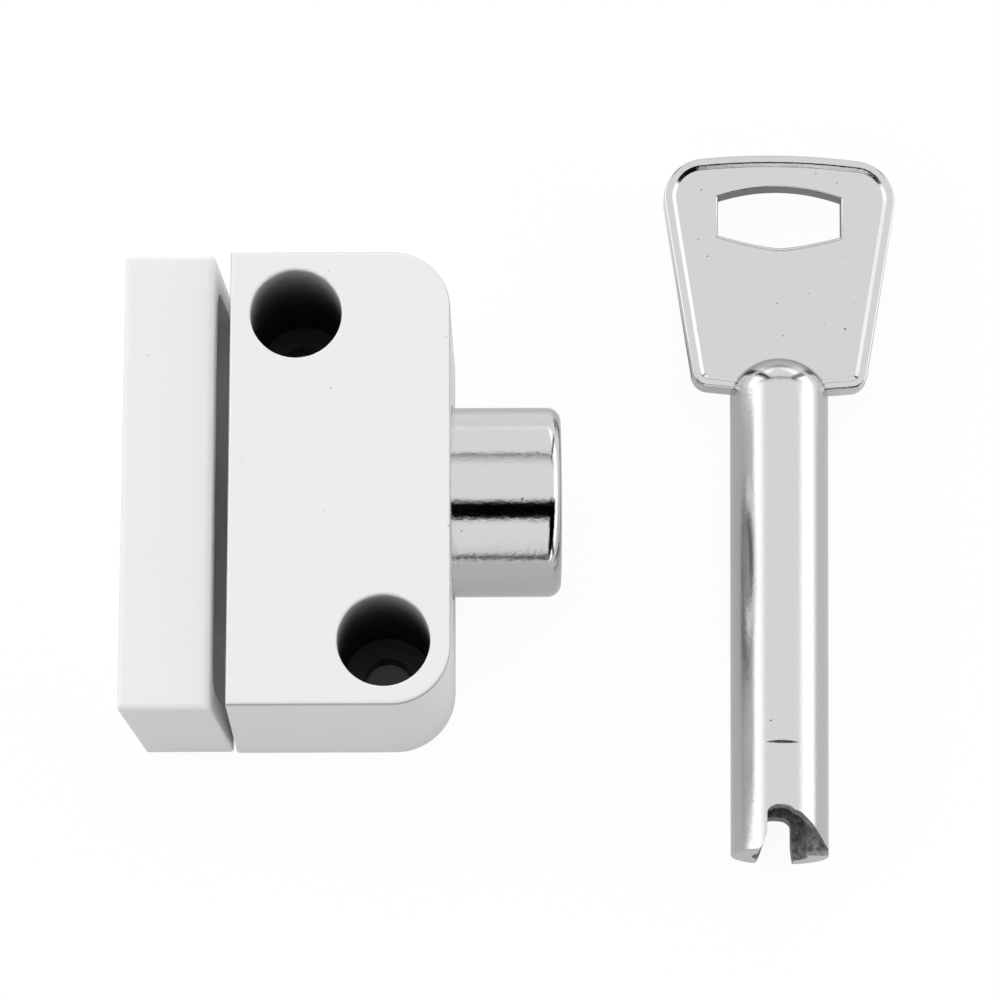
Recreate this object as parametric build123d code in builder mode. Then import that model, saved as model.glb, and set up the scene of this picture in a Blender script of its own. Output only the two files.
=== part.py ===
from build123d import *
from math import cos, radians, sin, tan
import os

# Window push lock, in millimetres: a case with a sprung push button, the keeper its bolt enters, and its key.
# The case stands on its mounting face at z = 0, with the middle of that face at the origin.
# +X runs from the keeper through the case to the button, and +Z out of the front face.

# Case
CASE_WIDTH = 19.0
CASE_LENGTH = 39.5
CASE_HEIGHT = 19.5
CASE_DRAFT = 0.68
CASE_CORNER = 5.2
CASE_EDGE = 0.25
END_WALL = 2.2
SCREW_ACROSS = 3.73
SCREW_ALONG = 14.1
SCREW_HOLE_RADIUS = 2.1
SCREW_RECESS_RADIUS = 3.87
SCREW_FLOOR = 2.6

# Keeper
KEEPER_WIDTH = 7.65
KEEPER_LENGTH = 39.3
KEEPER_HEIGHT = 18.2
KEEPER_RAKE = 3.0
KEEPER_GAP = 0.25
KEEPER_EDGE = 0.5
KEEPER_SCREW_ALONG = 13.0
KEEPER_WALL = 2.2
KEEPER_BACK_WALL = 3.4
HOLLOW_CORNER = 1.5
POCKET_CLEARANCE = 0.5
POCKET_END_GAP = 0.7

# Push button
AXIS_HEIGHT = 10.0
BUTTON_RADIUS = 8.1
BUTTON_REACH = 9.1
BUTTON_CHAMFER = 0.9
BUTTON_TRAVEL = 6.8
BUTTON_END_GAP = 0.2
SLIDE_CLEARANCE = 0.06
KEYHOLE_RADIUS = 4.45

# Bolt and return spring
BOLT_RADIUS = 4.5
BOLT_SETBACK = 0.6
BOLT_CHAMFER = 0.7
BOLT_HEAD_THICKNESS = 2.0
SPRING_POCKET_RADIUS = 6.2
SPRING_POCKET_DEPTH = 4.6
SPRING_RADIUS = 5.35
SPRING_WIRE_RADIUS = 0.5
WIRE_SIDE_COUNT = 4
SPRING_TURNS = 2.5
SPRING_SEAT_GAP = 0.03

# Catch, which drops through a window in the back wall when the button is home
CATCH_THICKNESS = 2.7
CATCH_WIDTH = 5.0
CATCH_TOP = 2.2
CATCH_DROP = 1.5
CATCH_LIFT = 0.3
CATCH_CLEARANCE = 0.05
WINDOW_CLEARANCE = 0.15
CATCH_SPRING_LENGTH = 4.4
CATCH_SPRING_RADIUS = 0.9
CATCH_SPRING_WIRE_RADIUS = 0.22
CATCH_SPRING_TURNS = 2.5

# Key cam
CAM_RADIUS = 5.1
CAM_THICKNESS = 2.2
CAM_PIN_RADIUS = 0.9
CAM_BLADE_THICKNESS = 2.2
CAM_BLADE_WIDTH = 5.6
CAM_BLADE_LENGTH = 3.4

# Stop pin
STOP_RADIUS = 0.9
STOP_OFFSET = 4.5
STOP_INSET = 0.1
KEYWAY_WALL = 1.0
KEYWAY_FLOOR = 5.4

# Key, lying beside the lock
KEY_LENGTH = 62.75
KEY_APART = 18.5
KEY_BELOW = 10.0
KEY_TURN = 1.15
SHAFT_RADIUS = 4.3
SHAFT_DOME = 2.7
BOW_HEIGHT = 21.4
BOW_TOP_WIDTH = 21.6
BOW_FOOT_WIDTH = 15.0
BOW_FOOT_DIP = 0.7
BOW_CROWN = 1.0
BOW_TOP_CORNER = 3.2
BOW_FOOT_CORNER = 1.3
BOW_THICKNESS = 3.0
BOW_EDGE_WIDTH = 0.45
BOW_EDGE_DEPTH = 0.6
RIM_WIDTH = 1.3
FACE_SINK = 0.2
LOOP_WIDTH = 11.0
LOOP_SIDE = 3.7
LOOP_ARCH = 0.95
LOOP_BORDER = 2.8
KEY_BORE_RADIUS = 2.35
KEY_BORE_DEPTH = 4.6
KEY_SLOT_CLEARANCE = 0.15
KEY_SLOT_DEPTH = 3.5
KEY_SLOT_FLARE = 0.6
KEY_CUT_FLOOR = 0.8

# Places along X, from the closed end of the bore to the end of the button
case_left = -CASE_WIDTH / 2
case_right = CASE_WIDTH / 2
bore_floor = case_left + END_WALL
button_inner = bore_floor + BUTTON_TRAVEL + BUTTON_END_GAP
spring_seat = button_inner + SPRING_POCKET_DEPTH
catch_left = spring_seat + BOLT_HEAD_THICKNESS
catch_slot = CATCH_THICKNESS + 2 * CATCH_CLEARANCE
catch_middle = catch_left + catch_slot / 2
catch_right = catch_left + catch_slot
cam_front = catch_right + CAM_THICKNESS
keyhole_shoulder = cam_front + CATCH_CLEARANCE
button_end = case_right + BUTTON_REACH
bolt_tip = case_left + BOLT_SETBACK

# Running fits and shared places
bore_radius = BUTTON_RADIUS + SLIDE_CLEARANCE
bolt_hole_radius = BOLT_RADIUS + SLIDE_CLEARANCE
cam_bore_radius = CAM_RADIUS + SLIDE_CLEARANCE
cam_pin_throw = CATCH_DROP + CATCH_LIFT + 2 * CATCH_CLEARANCE
catch_slot_top = AXIS_HEIGHT + CATCH_TOP + CATCH_LIFT + CATCH_CLEARANCE
catch_spring_seat = AXIS_HEIGHT + CATCH_TOP
keyway_left = button_inner + KEYWAY_WALL
keyway_length = BUTTON_TRAVEL + 2 * STOP_RADIUS + 2 * CATCH_CLEARANCE
keyway_floor = AXIS_HEIGHT - KEYWAY_FLOOR
stop_x = keyway_left + CATCH_CLEARANCE + STOP_RADIUS
lock_axis = Axis((0, 0, AXIS_HEIGHT), (1, 0, 0))
axis_plane = Plane((0, 0, AXIS_HEIGHT), x_dir=(1, 0, 0), z_dir=(0, -1, 0))
cross_plane = Plane((0, 0, AXIS_HEIGHT), x_dir=(0, 1, 0), z_dir=(1, 0, 0))

os.makedirs("parts", exist_ok=True)

# Case: a drafted casting, square on the keeper's side and round-cornered on the button's side
with BuildPart() as lock_case:
    with BuildSketch() as footprint:
        Rectangle(CASE_WIDTH, CASE_LENGTH)
        fillet(footprint.vertices().group_by(Axis.X)[-1], CASE_CORNER)
    extrude(amount=CASE_HEIGHT, taper=CASE_DRAFT)
    square_side = lock_case.faces().sort_by(Axis.X)[0]
    upright_edges = square_side.edges().sort_by(Axis.Z)[1:3]
    front_edges = lock_case.faces().sort_by(Axis.Z)[-1].edges()
    chamfer(upright_edges + front_edges, CASE_EDGE)
    with BuildSketch(cross_plane.offset(bore_floor)):
        Circle(bore_radius)
    extrude(amount=CASE_WIDTH, mode=Mode.SUBTRACT)
    with BuildSketch(cross_plane.offset(bore_floor)):
        Circle(bolt_hole_radius)
    extrude(amount=-2 * END_WALL, mode=Mode.SUBTRACT)
    with Locations((-SCREW_ACROSS, SCREW_ALONG, CASE_HEIGHT), (SCREW_ACROSS, -SCREW_ALONG, CASE_HEIGHT)):
        CounterBoreHole(SCREW_HOLE_RADIUS, SCREW_RECESS_RADIUS, CASE_HEIGHT - SCREW_FLOOR)
    with BuildSketch():
        with Locations((catch_middle - BUTTON_TRAVEL, 0)):
            Rectangle(CATCH_THICKNESS + 2 * WINDOW_CLEARANCE, CATCH_WIDTH + 2 * WINDOW_CLEARANCE)
        with Locations((stop_x, STOP_OFFSET)):
            Circle(STOP_RADIUS)
    extrude(amount=AXIS_HEIGHT, mode=Mode.SUBTRACT)
lock_case.part.label = "lock_case"
export_step(lock_case.part, "parts/lock_case.step")

# Keeper: a block with both long sides raked the same way, hollowed from the case's side, with a pocket for the bolt
keeper_right = case_left - KEEPER_GAP
keeper_lean = KEEPER_HEIGHT * tan(radians(KEEPER_RAKE))
hollow_floor = keeper_right - keeper_lean / 2 - KEEPER_WIDTH + KEEPER_BACK_WALL
hollow_plane = Plane((hollow_floor, 0, KEEPER_HEIGHT / 2), x_dir=(0, 1, 0), z_dir=(1, 0, 0))
with BuildPart() as keeper:
    with BuildSketch(Plane.XZ):
        with BuildLine():
            Polyline(
                (keeper_right, 0),
                (keeper_right - keeper_lean, KEEPER_HEIGHT),
                (keeper_right - keeper_lean - KEEPER_WIDTH, KEEPER_HEIGHT),
                (keeper_right - KEEPER_WIDTH, 0),
                close=True,
            )
        make_face()
    extrude(amount=KEEPER_LENGTH / 2, both=True)
    fillet(keeper.edges().group_by(Axis.Z)[-1], KEEPER_EDGE)
    with BuildSketch(hollow_plane):
        RectangleRounded(KEEPER_LENGTH - 2 * KEEPER_WALL, KEEPER_HEIGHT - 2 * KEEPER_WALL, HOLLOW_CORNER)
    extrude(amount=KEEPER_WIDTH, mode=Mode.SUBTRACT)
    with BuildSketch(hollow_plane):
        with GridLocations(2 * KEEPER_SCREW_ALONG, 0, 2, 1):
            Circle(SCREW_HOLE_RADIUS)
    extrude(amount=-2 * KEEPER_BACK_WALL, mode=Mode.SUBTRACT)
    with BuildSketch(cross_plane.offset(bolt_tip - BUTTON_TRAVEL - POCKET_END_GAP)):
        Circle(BOLT_RADIUS + POCKET_CLEARANCE)
    extrude(amount=KEEPER_WIDTH, mode=Mode.SUBTRACT)
keeper.part.label = "keeper"
export_step(keeper.part, "parts/keeper.step")

# Push button: a turned barrel, hollow for the spring at its inner end and for the key at its outer end
with BuildPart() as push_button:
    with BuildSketch(axis_plane):
        with BuildLine():
            Polyline(
                (button_inner, SPRING_POCKET_RADIUS),
                (button_inner, BUTTON_RADIUS),
                (button_end - BUTTON_CHAMFER, BUTTON_RADIUS),
                (button_end, BUTTON_RADIUS - BUTTON_CHAMFER),
                (button_end, KEYHOLE_RADIUS),
                (keyhole_shoulder, KEYHOLE_RADIUS),
                (keyhole_shoulder, cam_bore_radius),
                (spring_seat, cam_bore_radius),
                (spring_seat, SPRING_POCKET_RADIUS),
                close=True,
            )
        make_face()
    revolve(axis=lock_axis)
    with BuildSketch():
        with Locations((catch_middle, 0)):
            Rectangle(catch_slot, CATCH_WIDTH + 2 * CATCH_CLEARANCE)
    extrude(amount=catch_slot_top, mode=Mode.SUBTRACT)
    with BuildSketch(Plane.XY.offset(AXIS_HEIGHT)):
        with Locations((catch_middle, 0)):
            Circle(CATCH_THICKNESS / 2)
    extrude(amount=CATCH_TOP + CATCH_SPRING_LENGTH, mode=Mode.SUBTRACT)
    with BuildSketch():
        with Locations((keyway_left + keyway_length / 2, STOP_OFFSET)):
            SlotOverall(keyway_length, 2 * (STOP_RADIUS + CATCH_CLEARANCE))
    extrude(amount=keyway_floor, mode=Mode.SUBTRACT)
push_button.part.label = "push_button"
export_step(push_button.part, "parts/push_button.step")

# Bolt: a turned pin with a head pressed into the button's bore
with BuildPart() as bolt:
    with BuildSketch(axis_plane):
        with BuildLine():
            Polyline(
                (bolt_tip, 0),
                (bolt_tip, BOLT_RADIUS - BOLT_CHAMFER),
                (bolt_tip + BOLT_CHAMFER, BOLT_RADIUS),
                (spring_seat, BOLT_RADIUS),
                (spring_seat, cam_bore_radius),
                (catch_left, cam_bore_radius),
                (catch_left, 0),
                close=True,
            )
        make_face()
    revolve(axis=lock_axis)
bolt.part.label = "bolt"
export_step(bolt.part, "parts/bolt.step")

# Return spring: a coil of flat-sided wire with ground ends, between the end wall and the bolt's head
spring_length = spring_seat - bore_floor
with BuildPart() as return_spring:
    with BuildLine() as spring_coil:
        Helix(
            pitch=spring_length / SPRING_TURNS,
            height=spring_length,
            radius=SPRING_RADIUS,
            center=(bore_floor, 0, AXIS_HEIGHT),
            direction=(1, 0, 0),
        )
    with BuildSketch(Plane(spring_coil.line @ 0, z_dir=spring_coil.line % 0)):
        RegularPolygon(SPRING_WIRE_RADIUS, WIRE_SIDE_COUNT)
    sweep(path=spring_coil.line, is_frenet=True)
    split(bisect_by=Plane.YZ.offset(bore_floor + SPRING_SEAT_GAP), keep=Keep.TOP)
    split(bisect_by=Plane.YZ.offset(spring_seat - SPRING_SEAT_GAP), keep=Keep.BOTTOM)
return_spring.part.label = "return_spring"
export_step(return_spring.part, "parts/return_spring.step")

# Catch: a bar with a round nose, notched on one side for the cam's pin
notch_top = CAM_PIN_RADIUS - CATCH_LIFT + CATCH_CLEARANCE
notch_bottom = -cam_pin_throw - CAM_PIN_RADIUS - WINDOW_CLEARANCE
notch_side = -CAM_PIN_RADIUS - WINDOW_CLEARANCE
with BuildPart() as catch:
    with BuildSketch(cross_plane.offset(catch_left + CATCH_CLEARANCE)):
        with Locations((0, CATCH_TOP)):
            Rectangle(CATCH_WIDTH, 2 * BUTTON_RADIUS, align=(Align.CENTER, Align.MAX))
        Circle(BUTTON_RADIUS - CATCH_CLEARANCE, mode=Mode.INTERSECT)
        with Locations((notch_side, notch_bottom)):
            Rectangle(CATCH_WIDTH, notch_top - notch_bottom, align=Align.MIN, mode=Mode.SUBTRACT)
    extrude(amount=CATCH_THICKNESS)
catch.part.label = "catch"
export_step(catch.part, "parts/catch.step")

# Catch spring: a small coil of the same kind, above the catch
with BuildPart() as catch_spring:
    with BuildLine() as catch_coil:
        Helix(
            pitch=CATCH_SPRING_LENGTH / CATCH_SPRING_TURNS,
            height=CATCH_SPRING_LENGTH,
            radius=CATCH_SPRING_RADIUS,
            center=(catch_middle, 0, catch_spring_seat),
        )
    with BuildSketch(Plane(catch_coil.line @ 0, z_dir=catch_coil.line % 0)):
        RegularPolygon(CATCH_SPRING_WIRE_RADIUS, WIRE_SIDE_COUNT)
    sweep(path=catch_coil.line, is_frenet=True)
    split(bisect_by=Plane.XY.offset(catch_spring_seat + SPRING_SEAT_GAP), keep=Keep.TOP)
    split(bisect_by=Plane.XY.offset(catch_spring_seat + CATCH_SPRING_LENGTH - SPRING_SEAT_GAP), keep=Keep.BOTTOM)
catch_spring.part.label = "catch_spring"
export_step(catch_spring.part, "parts/catch_spring.step")

# Key cam: a disc with a blade for the key's slot, and an off-centre pin that lifts the catch
with BuildPart() as key_cam:
    with BuildSketch(cross_plane.offset(catch_right)):
        Circle(CAM_RADIUS)
    extrude(amount=CAM_THICKNESS)
    with BuildSketch(cross_plane.offset(cam_front)):
        Rectangle(CAM_BLADE_WIDTH, CAM_BLADE_THICKNESS)
    extrude(amount=CAM_BLADE_LENGTH)
    with BuildSketch(cross_plane.offset(catch_right)):
        with Locations((0, -cam_pin_throw)):
            Circle(CAM_PIN_RADIUS)
    extrude(amount=-CATCH_THICKNESS)
key_cam.part.label = "key_cam"
export_step(key_cam.part, "parts/key_cam.step")

# Stop pin: a dowel in the back wall that stands in the button's keyway
with BuildPart() as stop_pin:
    with BuildSketch(Plane.XY.offset(STOP_INSET)):
        with Locations((stop_x, STOP_OFFSET)):
            Circle(STOP_RADIUS)
    extrude(amount=keyway_floor - WINDOW_CLEARANCE - STOP_INSET)
stop_pin.part.label = "stop_pin"
export_step(stop_pin.part, "parts/stop_pin.step")

# Key: a bow with a raised rim and a ring loop, on a round shaft that ends in a slotted tube
key_lean = radians(KEY_TURN)
key_plane = Plane(
    (button_end + KEY_APART, -CASE_LENGTH / 2 - KEY_BELOW, SHAFT_RADIUS),
    x_dir=(cos(key_lean), -sin(key_lean), 0),
    z_dir=(0, 0, 1),
)
bow_foot = KEY_LENGTH - BOW_HEIGHT
bow_shoulder = KEY_LENGTH - BOW_CROWN
loop_crown = KEY_LENGTH - LOOP_BORDER
loop_top = loop_crown - LOOP_ARCH
loop_foot = loop_top - LOOP_SIDE
slot_half = CAM_BLADE_THICKNESS / 2 + KEY_SLOT_CLEARANCE
dome_radius = (SHAFT_RADIUS**2 + SHAFT_DOME**2) / (2 * SHAFT_DOME)
with BuildPart() as key:
    with BuildSketch(key_plane.offset(-BOW_THICKNESS / 2)) as bow:
        with BuildLine():
            crown = ThreePointArc(
                (-BOW_TOP_WIDTH / 2, bow_shoulder), (0, KEY_LENGTH), (BOW_TOP_WIDTH / 2, bow_shoulder)
            )
            Polyline(
                crown @ 1,
                (BOW_FOOT_WIDTH / 2, bow_foot),
                (0, bow_foot - BOW_FOOT_DIP),
                (-BOW_FOOT_WIDTH / 2, bow_foot),
                crown @ 0,
            )
        make_face()
        by_height = bow.vertices().sort_by(Axis((0, 0, 0), key_plane.y_dir))
        fillet(by_height[-2:], BOW_TOP_CORNER)
        fillet(bow.vertices().sort_by(Axis((0, 0, 0), key_plane.y_dir))[1:3], BOW_FOOT_CORNER)
    extrude(amount=BOW_THICKNESS)
    for flat in (key.faces().sort_by(Axis.Z)[0], key.faces().sort_by(Axis.Z)[-1]):
        chamfer(flat.edges(), BOW_EDGE_WIDTH, BOW_EDGE_DEPTH, reference=flat)
    for side in (1, -1):
        with BuildSketch(key_plane.offset(side * BOW_THICKNESS / 2)):
            add(bow.sketch_local)
            offset(amount=-RIM_WIDTH, kind=Kind.INTERSECTION)
        extrude(amount=-side * FACE_SINK, mode=Mode.SUBTRACT)
    with BuildSketch(key_plane.offset(-BOW_THICKNESS)):
        with BuildLine():
            arch = ThreePointArc((-LOOP_WIDTH / 2, loop_top), (0, loop_crown), (LOOP_WIDTH / 2, loop_top))
            dip = ThreePointArc(
                (-LOOP_WIDTH / 2, loop_foot), (0, loop_foot - LOOP_ARCH), (LOOP_WIDTH / 2, loop_foot)
            )
            Line(arch @ 0, dip @ 0)
            Line(arch @ 1, dip @ 1)
        make_face()
    extrude(amount=2 * BOW_THICKNESS, mode=Mode.SUBTRACT)
    with BuildSketch(key_plane):
        with BuildLine():
            side = Polyline((0, 0), (SHAFT_RADIUS, 0), (SHAFT_RADIUS, bow_foot))
            dome = RadiusArc(side @ 1, (0, bow_foot + SHAFT_DOME), -dome_radius)
            Line(dome @ 1, side @ 0)
        make_face()
    revolve(axis=Axis(key_plane.origin, key_plane.y_dir))
    with BuildSketch(Plane(key_plane.origin, x_dir=key_plane.x_dir, z_dir=key_plane.y_dir)):
        Circle(KEY_BORE_RADIUS)
    extrude(amount=KEY_BORE_DEPTH, mode=Mode.SUBTRACT)
    with BuildSketch(key_plane.offset(-2 * SHAFT_RADIUS)):
        with BuildLine():
            Polyline(
                (slot_half, KEY_SLOT_DEPTH),
                (slot_half, KEY_SLOT_FLARE),
                (slot_half + 2 * KEY_SLOT_FLARE, -KEY_SLOT_FLARE),
                (-slot_half - 2 * KEY_SLOT_FLARE, -KEY_SLOT_FLARE),
                (-slot_half, KEY_SLOT_FLARE),
                (-slot_half, KEY_SLOT_DEPTH),
                close=True,
            )
        make_face()
    extrude(amount=4 * SHAFT_RADIUS, mode=Mode.SUBTRACT)
    with BuildSketch(key_plane.offset(KEY_CUT_FLOOR)):
        with BuildLine():
            Polyline(
                (slot_half, KEY_SLOT_DEPTH),
                (SHAFT_RADIUS, KEY_SLOT_FLARE),
                (SHAFT_RADIUS, -KEY_SLOT_FLARE),
                (slot_half, -KEY_SLOT_FLARE),
                close=True,
            )
        make_face()
    extrude(amount=SHAFT_RADIUS, mode=Mode.SUBTRACT)
key.part.label = "key"
export_step(key.part, "parts/key.step")
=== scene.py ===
"""Finished pieces of a window push lock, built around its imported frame, and the studio they stand in."""
from math import cos, pi, radians, sin, tan

import bmesh
import bpy
import numpy as np
from mathutils import Matrix, Vector


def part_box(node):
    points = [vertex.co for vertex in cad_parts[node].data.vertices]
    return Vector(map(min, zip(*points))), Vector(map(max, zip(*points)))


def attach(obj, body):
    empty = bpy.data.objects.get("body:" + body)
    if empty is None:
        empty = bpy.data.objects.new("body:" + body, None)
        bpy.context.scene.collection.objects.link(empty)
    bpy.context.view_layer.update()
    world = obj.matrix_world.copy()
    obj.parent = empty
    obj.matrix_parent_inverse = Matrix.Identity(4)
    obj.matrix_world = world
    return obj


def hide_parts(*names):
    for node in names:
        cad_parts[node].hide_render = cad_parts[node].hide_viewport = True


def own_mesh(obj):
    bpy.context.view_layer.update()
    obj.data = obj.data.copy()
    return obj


bl_info = {
    "name": "Window Push Lock",
    "version": (1, 0, 0),
    "blender": (4, 5, 0),
    "location": "View3D > Sidebar > Push Lock",
    "description": "Builds the finished pieces of a window push lock and a studio around it",
    "category": "Object",
}

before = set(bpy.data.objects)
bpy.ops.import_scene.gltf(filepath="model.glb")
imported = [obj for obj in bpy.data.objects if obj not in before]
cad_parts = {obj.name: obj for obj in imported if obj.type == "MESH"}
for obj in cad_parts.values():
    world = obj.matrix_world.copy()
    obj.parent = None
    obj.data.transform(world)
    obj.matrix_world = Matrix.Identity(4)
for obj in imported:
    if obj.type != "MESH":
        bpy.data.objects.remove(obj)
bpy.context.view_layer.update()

MM = 0.001
X_AXIS, Y_AXIS, Z_AXIS = (1, 0, 0), (0, 1, 0), (0, 0, 1)

# Meshes; lengths are in millimetres here and below
ROUND_COUNT = 128
SMOOTH_ANGLE = radians(32)
FLAT_WEIGHT = 80
MERGE_REACH = 0.002
SLIVER_LENGTH = 0.001
CUTTER_OVERRUN = 1.0
POLE_RADIUS = 0.1

# The castings
SHARPEST_CORNER = 0.03
FRONT_INSET = 0.25
PIN_HOLE_DROP = 5.0
KEEPER_WIDTH = 7.65
HOLLOW_CUT = 1.6
POCKET_END_GAP = 0.7

# The works
SLIDE_GAP = 0.05
LOOSE_GAP = 0.15
KEYHOLE_CHAMFER = 0.35
CAM_BLADE_LENGTH = 3.4
SPRING_HOLE_RADIUS = 1.35
SPRING_HOLE_GAP = 0.03
CATCH_LIFT = 0.3
COIL_CLOSING = 0.5
BOLT_EASE = 0.12

# The key's bow and loop
BOW_CROWN = 1.0
CROWN_START = 6.0
CROWN_BLEND = 4.0
BOW_DIP = 0.7
BOW_TOP_CORNER = 3.2
BOW_FOOT_CORNER = 1.5
BOW_DIP_CORNER = 1.0
SHARPEST_ARC = 0.12
FACE_SINK = 0.24
RIM_FOOT = [(1.7, -FACE_SINK), (1.1, -FACE_SINK), (1.02, -0.8 * FACE_SINK)]
RIM_FOOT_EASE = 0.07
RIM_CREST = [(1.02, -0.8 * FACE_SINK), (0.7, 0), (0.18, 0), (0.05, -0.1), (0, -0.4), (0, -0.9)]
RIM_CREST_EASE = 0.16
LOOP_HALF_WIDTH = 5.4
LOOP_TOP = 58.6
LOOP_TOP_ARCH = 0.95
LOOP_FOOT = 55.1
LOOP_FOOT_DIP = 1.1
LOOP_FOOT_POWER = 1.4
LOOP_DRAFT = 0.08
LOOP_EASE = (0.32, 0.2)
LOOP_LIFT = 0.22

# The key's shaft and its tip, from the tip's end
DOME_SHOULDER = radians(40)
DOME_POLE = 0.05
TIP_EASE = 0.15
BORE_RADIUS = 2.35
BORE_DEPTH = 4.6
SLOT_OUTLINE = [
    (-2.4, -0.6), (-1.6, 0.45), (-1.3, 1.4), (-1.3, 3.4), (-0.6, 3.8), (0.55, 3.75), (1.12, 3.3),
    (1.13, 1.2), (1.4, -0.6),
]
CUT_OUTLINE = [(1.0, 3.4), (1.6, 3.2), (2.7, 2.2), (3.8, 0.7), (4.7, 0.25), (4.7, -0.6), (1.0, -0.6)]
CUT_EASE = 0.5
CUT_FLOOR = 0.8
CUT_REACH = 6.0
SCRIBE_PLACE = 9.15
SCRIBE_DEPTH = 0.22
SCRIBE_SLOPE = 0.6
SCRIBE_HALF_WIDTH = 3.0
SHAFT_LIFT = 0.01

# The paint: half the grey line's height, how far the painted shade in an opening reaches below the front, and
# the paint's cover against that shade from there out
EDGE_LINE = 0.2
PAINT_SHADE_REACH = 11.5
PAINT_SHADE_COVER = [
    (0.0, 0.0), (0.13, 0.012), (0.3, 0.06), (0.48, 0.15), (0.65, 0.27), (0.83, 0.41), (0.93, 0.53),
    (0.985, 1.0),
]

# The light tent: shades against degrees from straight up or, for the headings, round the object
SIDE_PANELS = [
    (-90, 0.7), (-86, 0.7), (-80, 1.35), (-50, 1.35), (-37, 0.84), (43, 0.84), (54, 1.35), (83, 1.35),
    (89, 0.8), (90, 0.8),
]
OVERHEAD = [(-62, 0.0), (-48, 1.0), (48, 1.0), (62, 0.0)]
LENS_GAP = [
    (-90, 0.2), (-83, 0.2), (-79, 0.9), (-62, 1.0), (-36, 1.0), (-34.6, 0.0), (-12.6, 0.0), (-11.5, 1.0),
    (33, 1.0), (45, 0.5), (45.7, 0.02), (47.2, 0.02), (48, 1.0),
]
ARM_WIDTH = [(11, 0.0), (14, 1.0), (60, 1.0), (65, 0.0)]
ARM_REACH = [(-10.5, 0.0), (-9, 1.0)]
HEADINGS = [
    (-128, 1.0), (-125, 0.03), (-115, 0.03), (-112, 1.0), (-63, 1.0), (-60, 0.03), (-51, 0.03), (-48, 1.0),
    (48, 1.0), (51, 0.1), (58, 0.1), (61, 1.0), (112, 1.0), (115, 0.03), (125, 0.03), (128, 1.0),
]
POST_TOP = (0.7, 0.62)
TENT_STRENGTH = 1.3

# The floor: its size, how white it is to the camera and in the metal, and its patches; in the metal its glow
# is painted light, more of it behind the lock and beside the key
FLOOR_REACH = 1500.0
FLOOR_DROP = 0.02
FLOOR_GLOW = 1.1
FLOOR_SEEN = 0.85
FLOOR_MIRRORED = (0.37, 0.86)
BACK_GLOW_SPAN = (20.0, 33.0)
SIDE_GLOW_SPAN = (41.0, 44.0)
SIDE_GLOW_GAIN = 1.4
UNDER_LOCK = np.array([(-17.1, -18.5), (6.5, 18.5)])
UNDER_BOW = np.array([(29.0, 13.5), (47.5, 32.0)])

# The camera, fitted to the object's edges in a picture of this many pixels
PHOTO_WIDTH = 1000
FOCAL_PIXELS = 4082.85
SIDE_SHIFT = 7.0
NEAREST_SEEN = 10.0
VIEW_ELEVATION = radians(75.404)
VIEW_DISTANCE = 359.87
VIEW_TARGET = (12.82, 2.83, 0.0)
VIEW_ROLL = radians(-0.2255)


def node_box(name):
    """Lowest and highest corner of a CAD node at rest, in millimetres."""
    low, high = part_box(name)
    return np.array(low) / MM, np.array(high) / MM


case_low, case_high = node_box("lock_case")
keeper_low, keeper_high = node_box("keeper")
button_low, button_high = node_box("push_button")
bolt_low, bolt_high = node_box("bolt")
spring_low, spring_high = node_box("return_spring")
catch_spring_low, catch_spring_high = node_box("catch_spring")
catch_low, catch_high = node_box("catch")
pin_low, pin_high = node_box("stop_pin")
cam_low, cam_high = node_box("key_cam")

lock_axis = np.array([0.0, 0.0, (button_low[2] + button_high[2]) / 2])
button_radius = (button_high[1] - button_low[1]) / 2
head_radius = (bolt_high[1] - bolt_low[1]) / 2


def linear(code):
    """An sRGB hex colour as linear red, green and blue."""
    channels = np.array([int(code[i:i + 2], 16) for i in (1, 3, 5)]) / 255
    return tuple(np.where(channels <= 0.04045, channels / 12.92, ((channels + 0.055) / 1.055) ** 2.4))


def length(name, description, millimetres):
    """A length that a user can change, given in millimetres and kept in metres."""
    return bpy.props.FloatProperty(
        name=name, description=description, default=millimetres * MM, min=0, unit="LENGTH", precision=5
    )


def angle(name, description, degrees):
    """An angle that a user can change, given in degrees."""
    return bpy.props.FloatProperty(
        name=name, description=description, default=radians(degrees), subtype="ANGLE"
    )


def tint(name, description, code):
    """A colour that a user can change, given as sRGB hex."""
    return bpy.props.FloatVectorProperty(
        name=name, description=description, default=linear(code), min=0, max=1, size=3, subtype="COLOR"
    )


class LOCK_PG_casting(bpy.types.PropertyGroup):
    """Sizes of the painted castings"""

    corner: length("Corner", "Radius of the case's upright corners on the button's side", 5.2)
    square_corner: length("Square corner", "Radius of the upright corners on the keeper's side", 0.3)
    case_edge: length("Case edge", "Radius of the paint over the case's front edge", 0.3)
    keeper_edge: length("Keeper edge", "Radius of the keeper's edges", 0.55)
    rim: length("Rim", "Radius of the paint over the rim of a hole", 0.22)
    screw_across: length("Screw across", "Screw holes' distance from the middle, across the case", 3.73)
    screw_along: length("Screw along", "Screw holes' distance from the middle, along the case", 14.1)
    screw_hole: length("Screw hole", "Radius of the screw holes", 2.1)
    screw_recess: length("Screw recess", "Radius of the recesses for the screws' heads", 3.87)
    screw_floor: length("Screw floor", "Height of the recesses' floors in the case", 2.6)
    keeper_screw_along: length("Keeper screw along", "Screw holes' distance from the keeper's middle", 13.0)
    keeper_wall: length("Keeper wall", "Thickness of the keeper's rim round its hollow", 2.2)
    keeper_back: length("Keeper back", "Thickness of the keeper's back wall", 3.4)
    hollow_corner: length("Hollow corner", "Radius of the hollow's corners", 1.5)
    end_wall: length("End wall", "Thickness of the wall that the bolt passes through", 2.2)
    bore_gap: length("Bore gap", "Running clearance round the button and the bolt", 0.06)
    pocket_gap: length("Pocket gap", "Clearance round the bolt in the keeper's pocket", 0.5)
    draft: angle("Draft", "Lean of the case's sides", 0.68)


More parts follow.
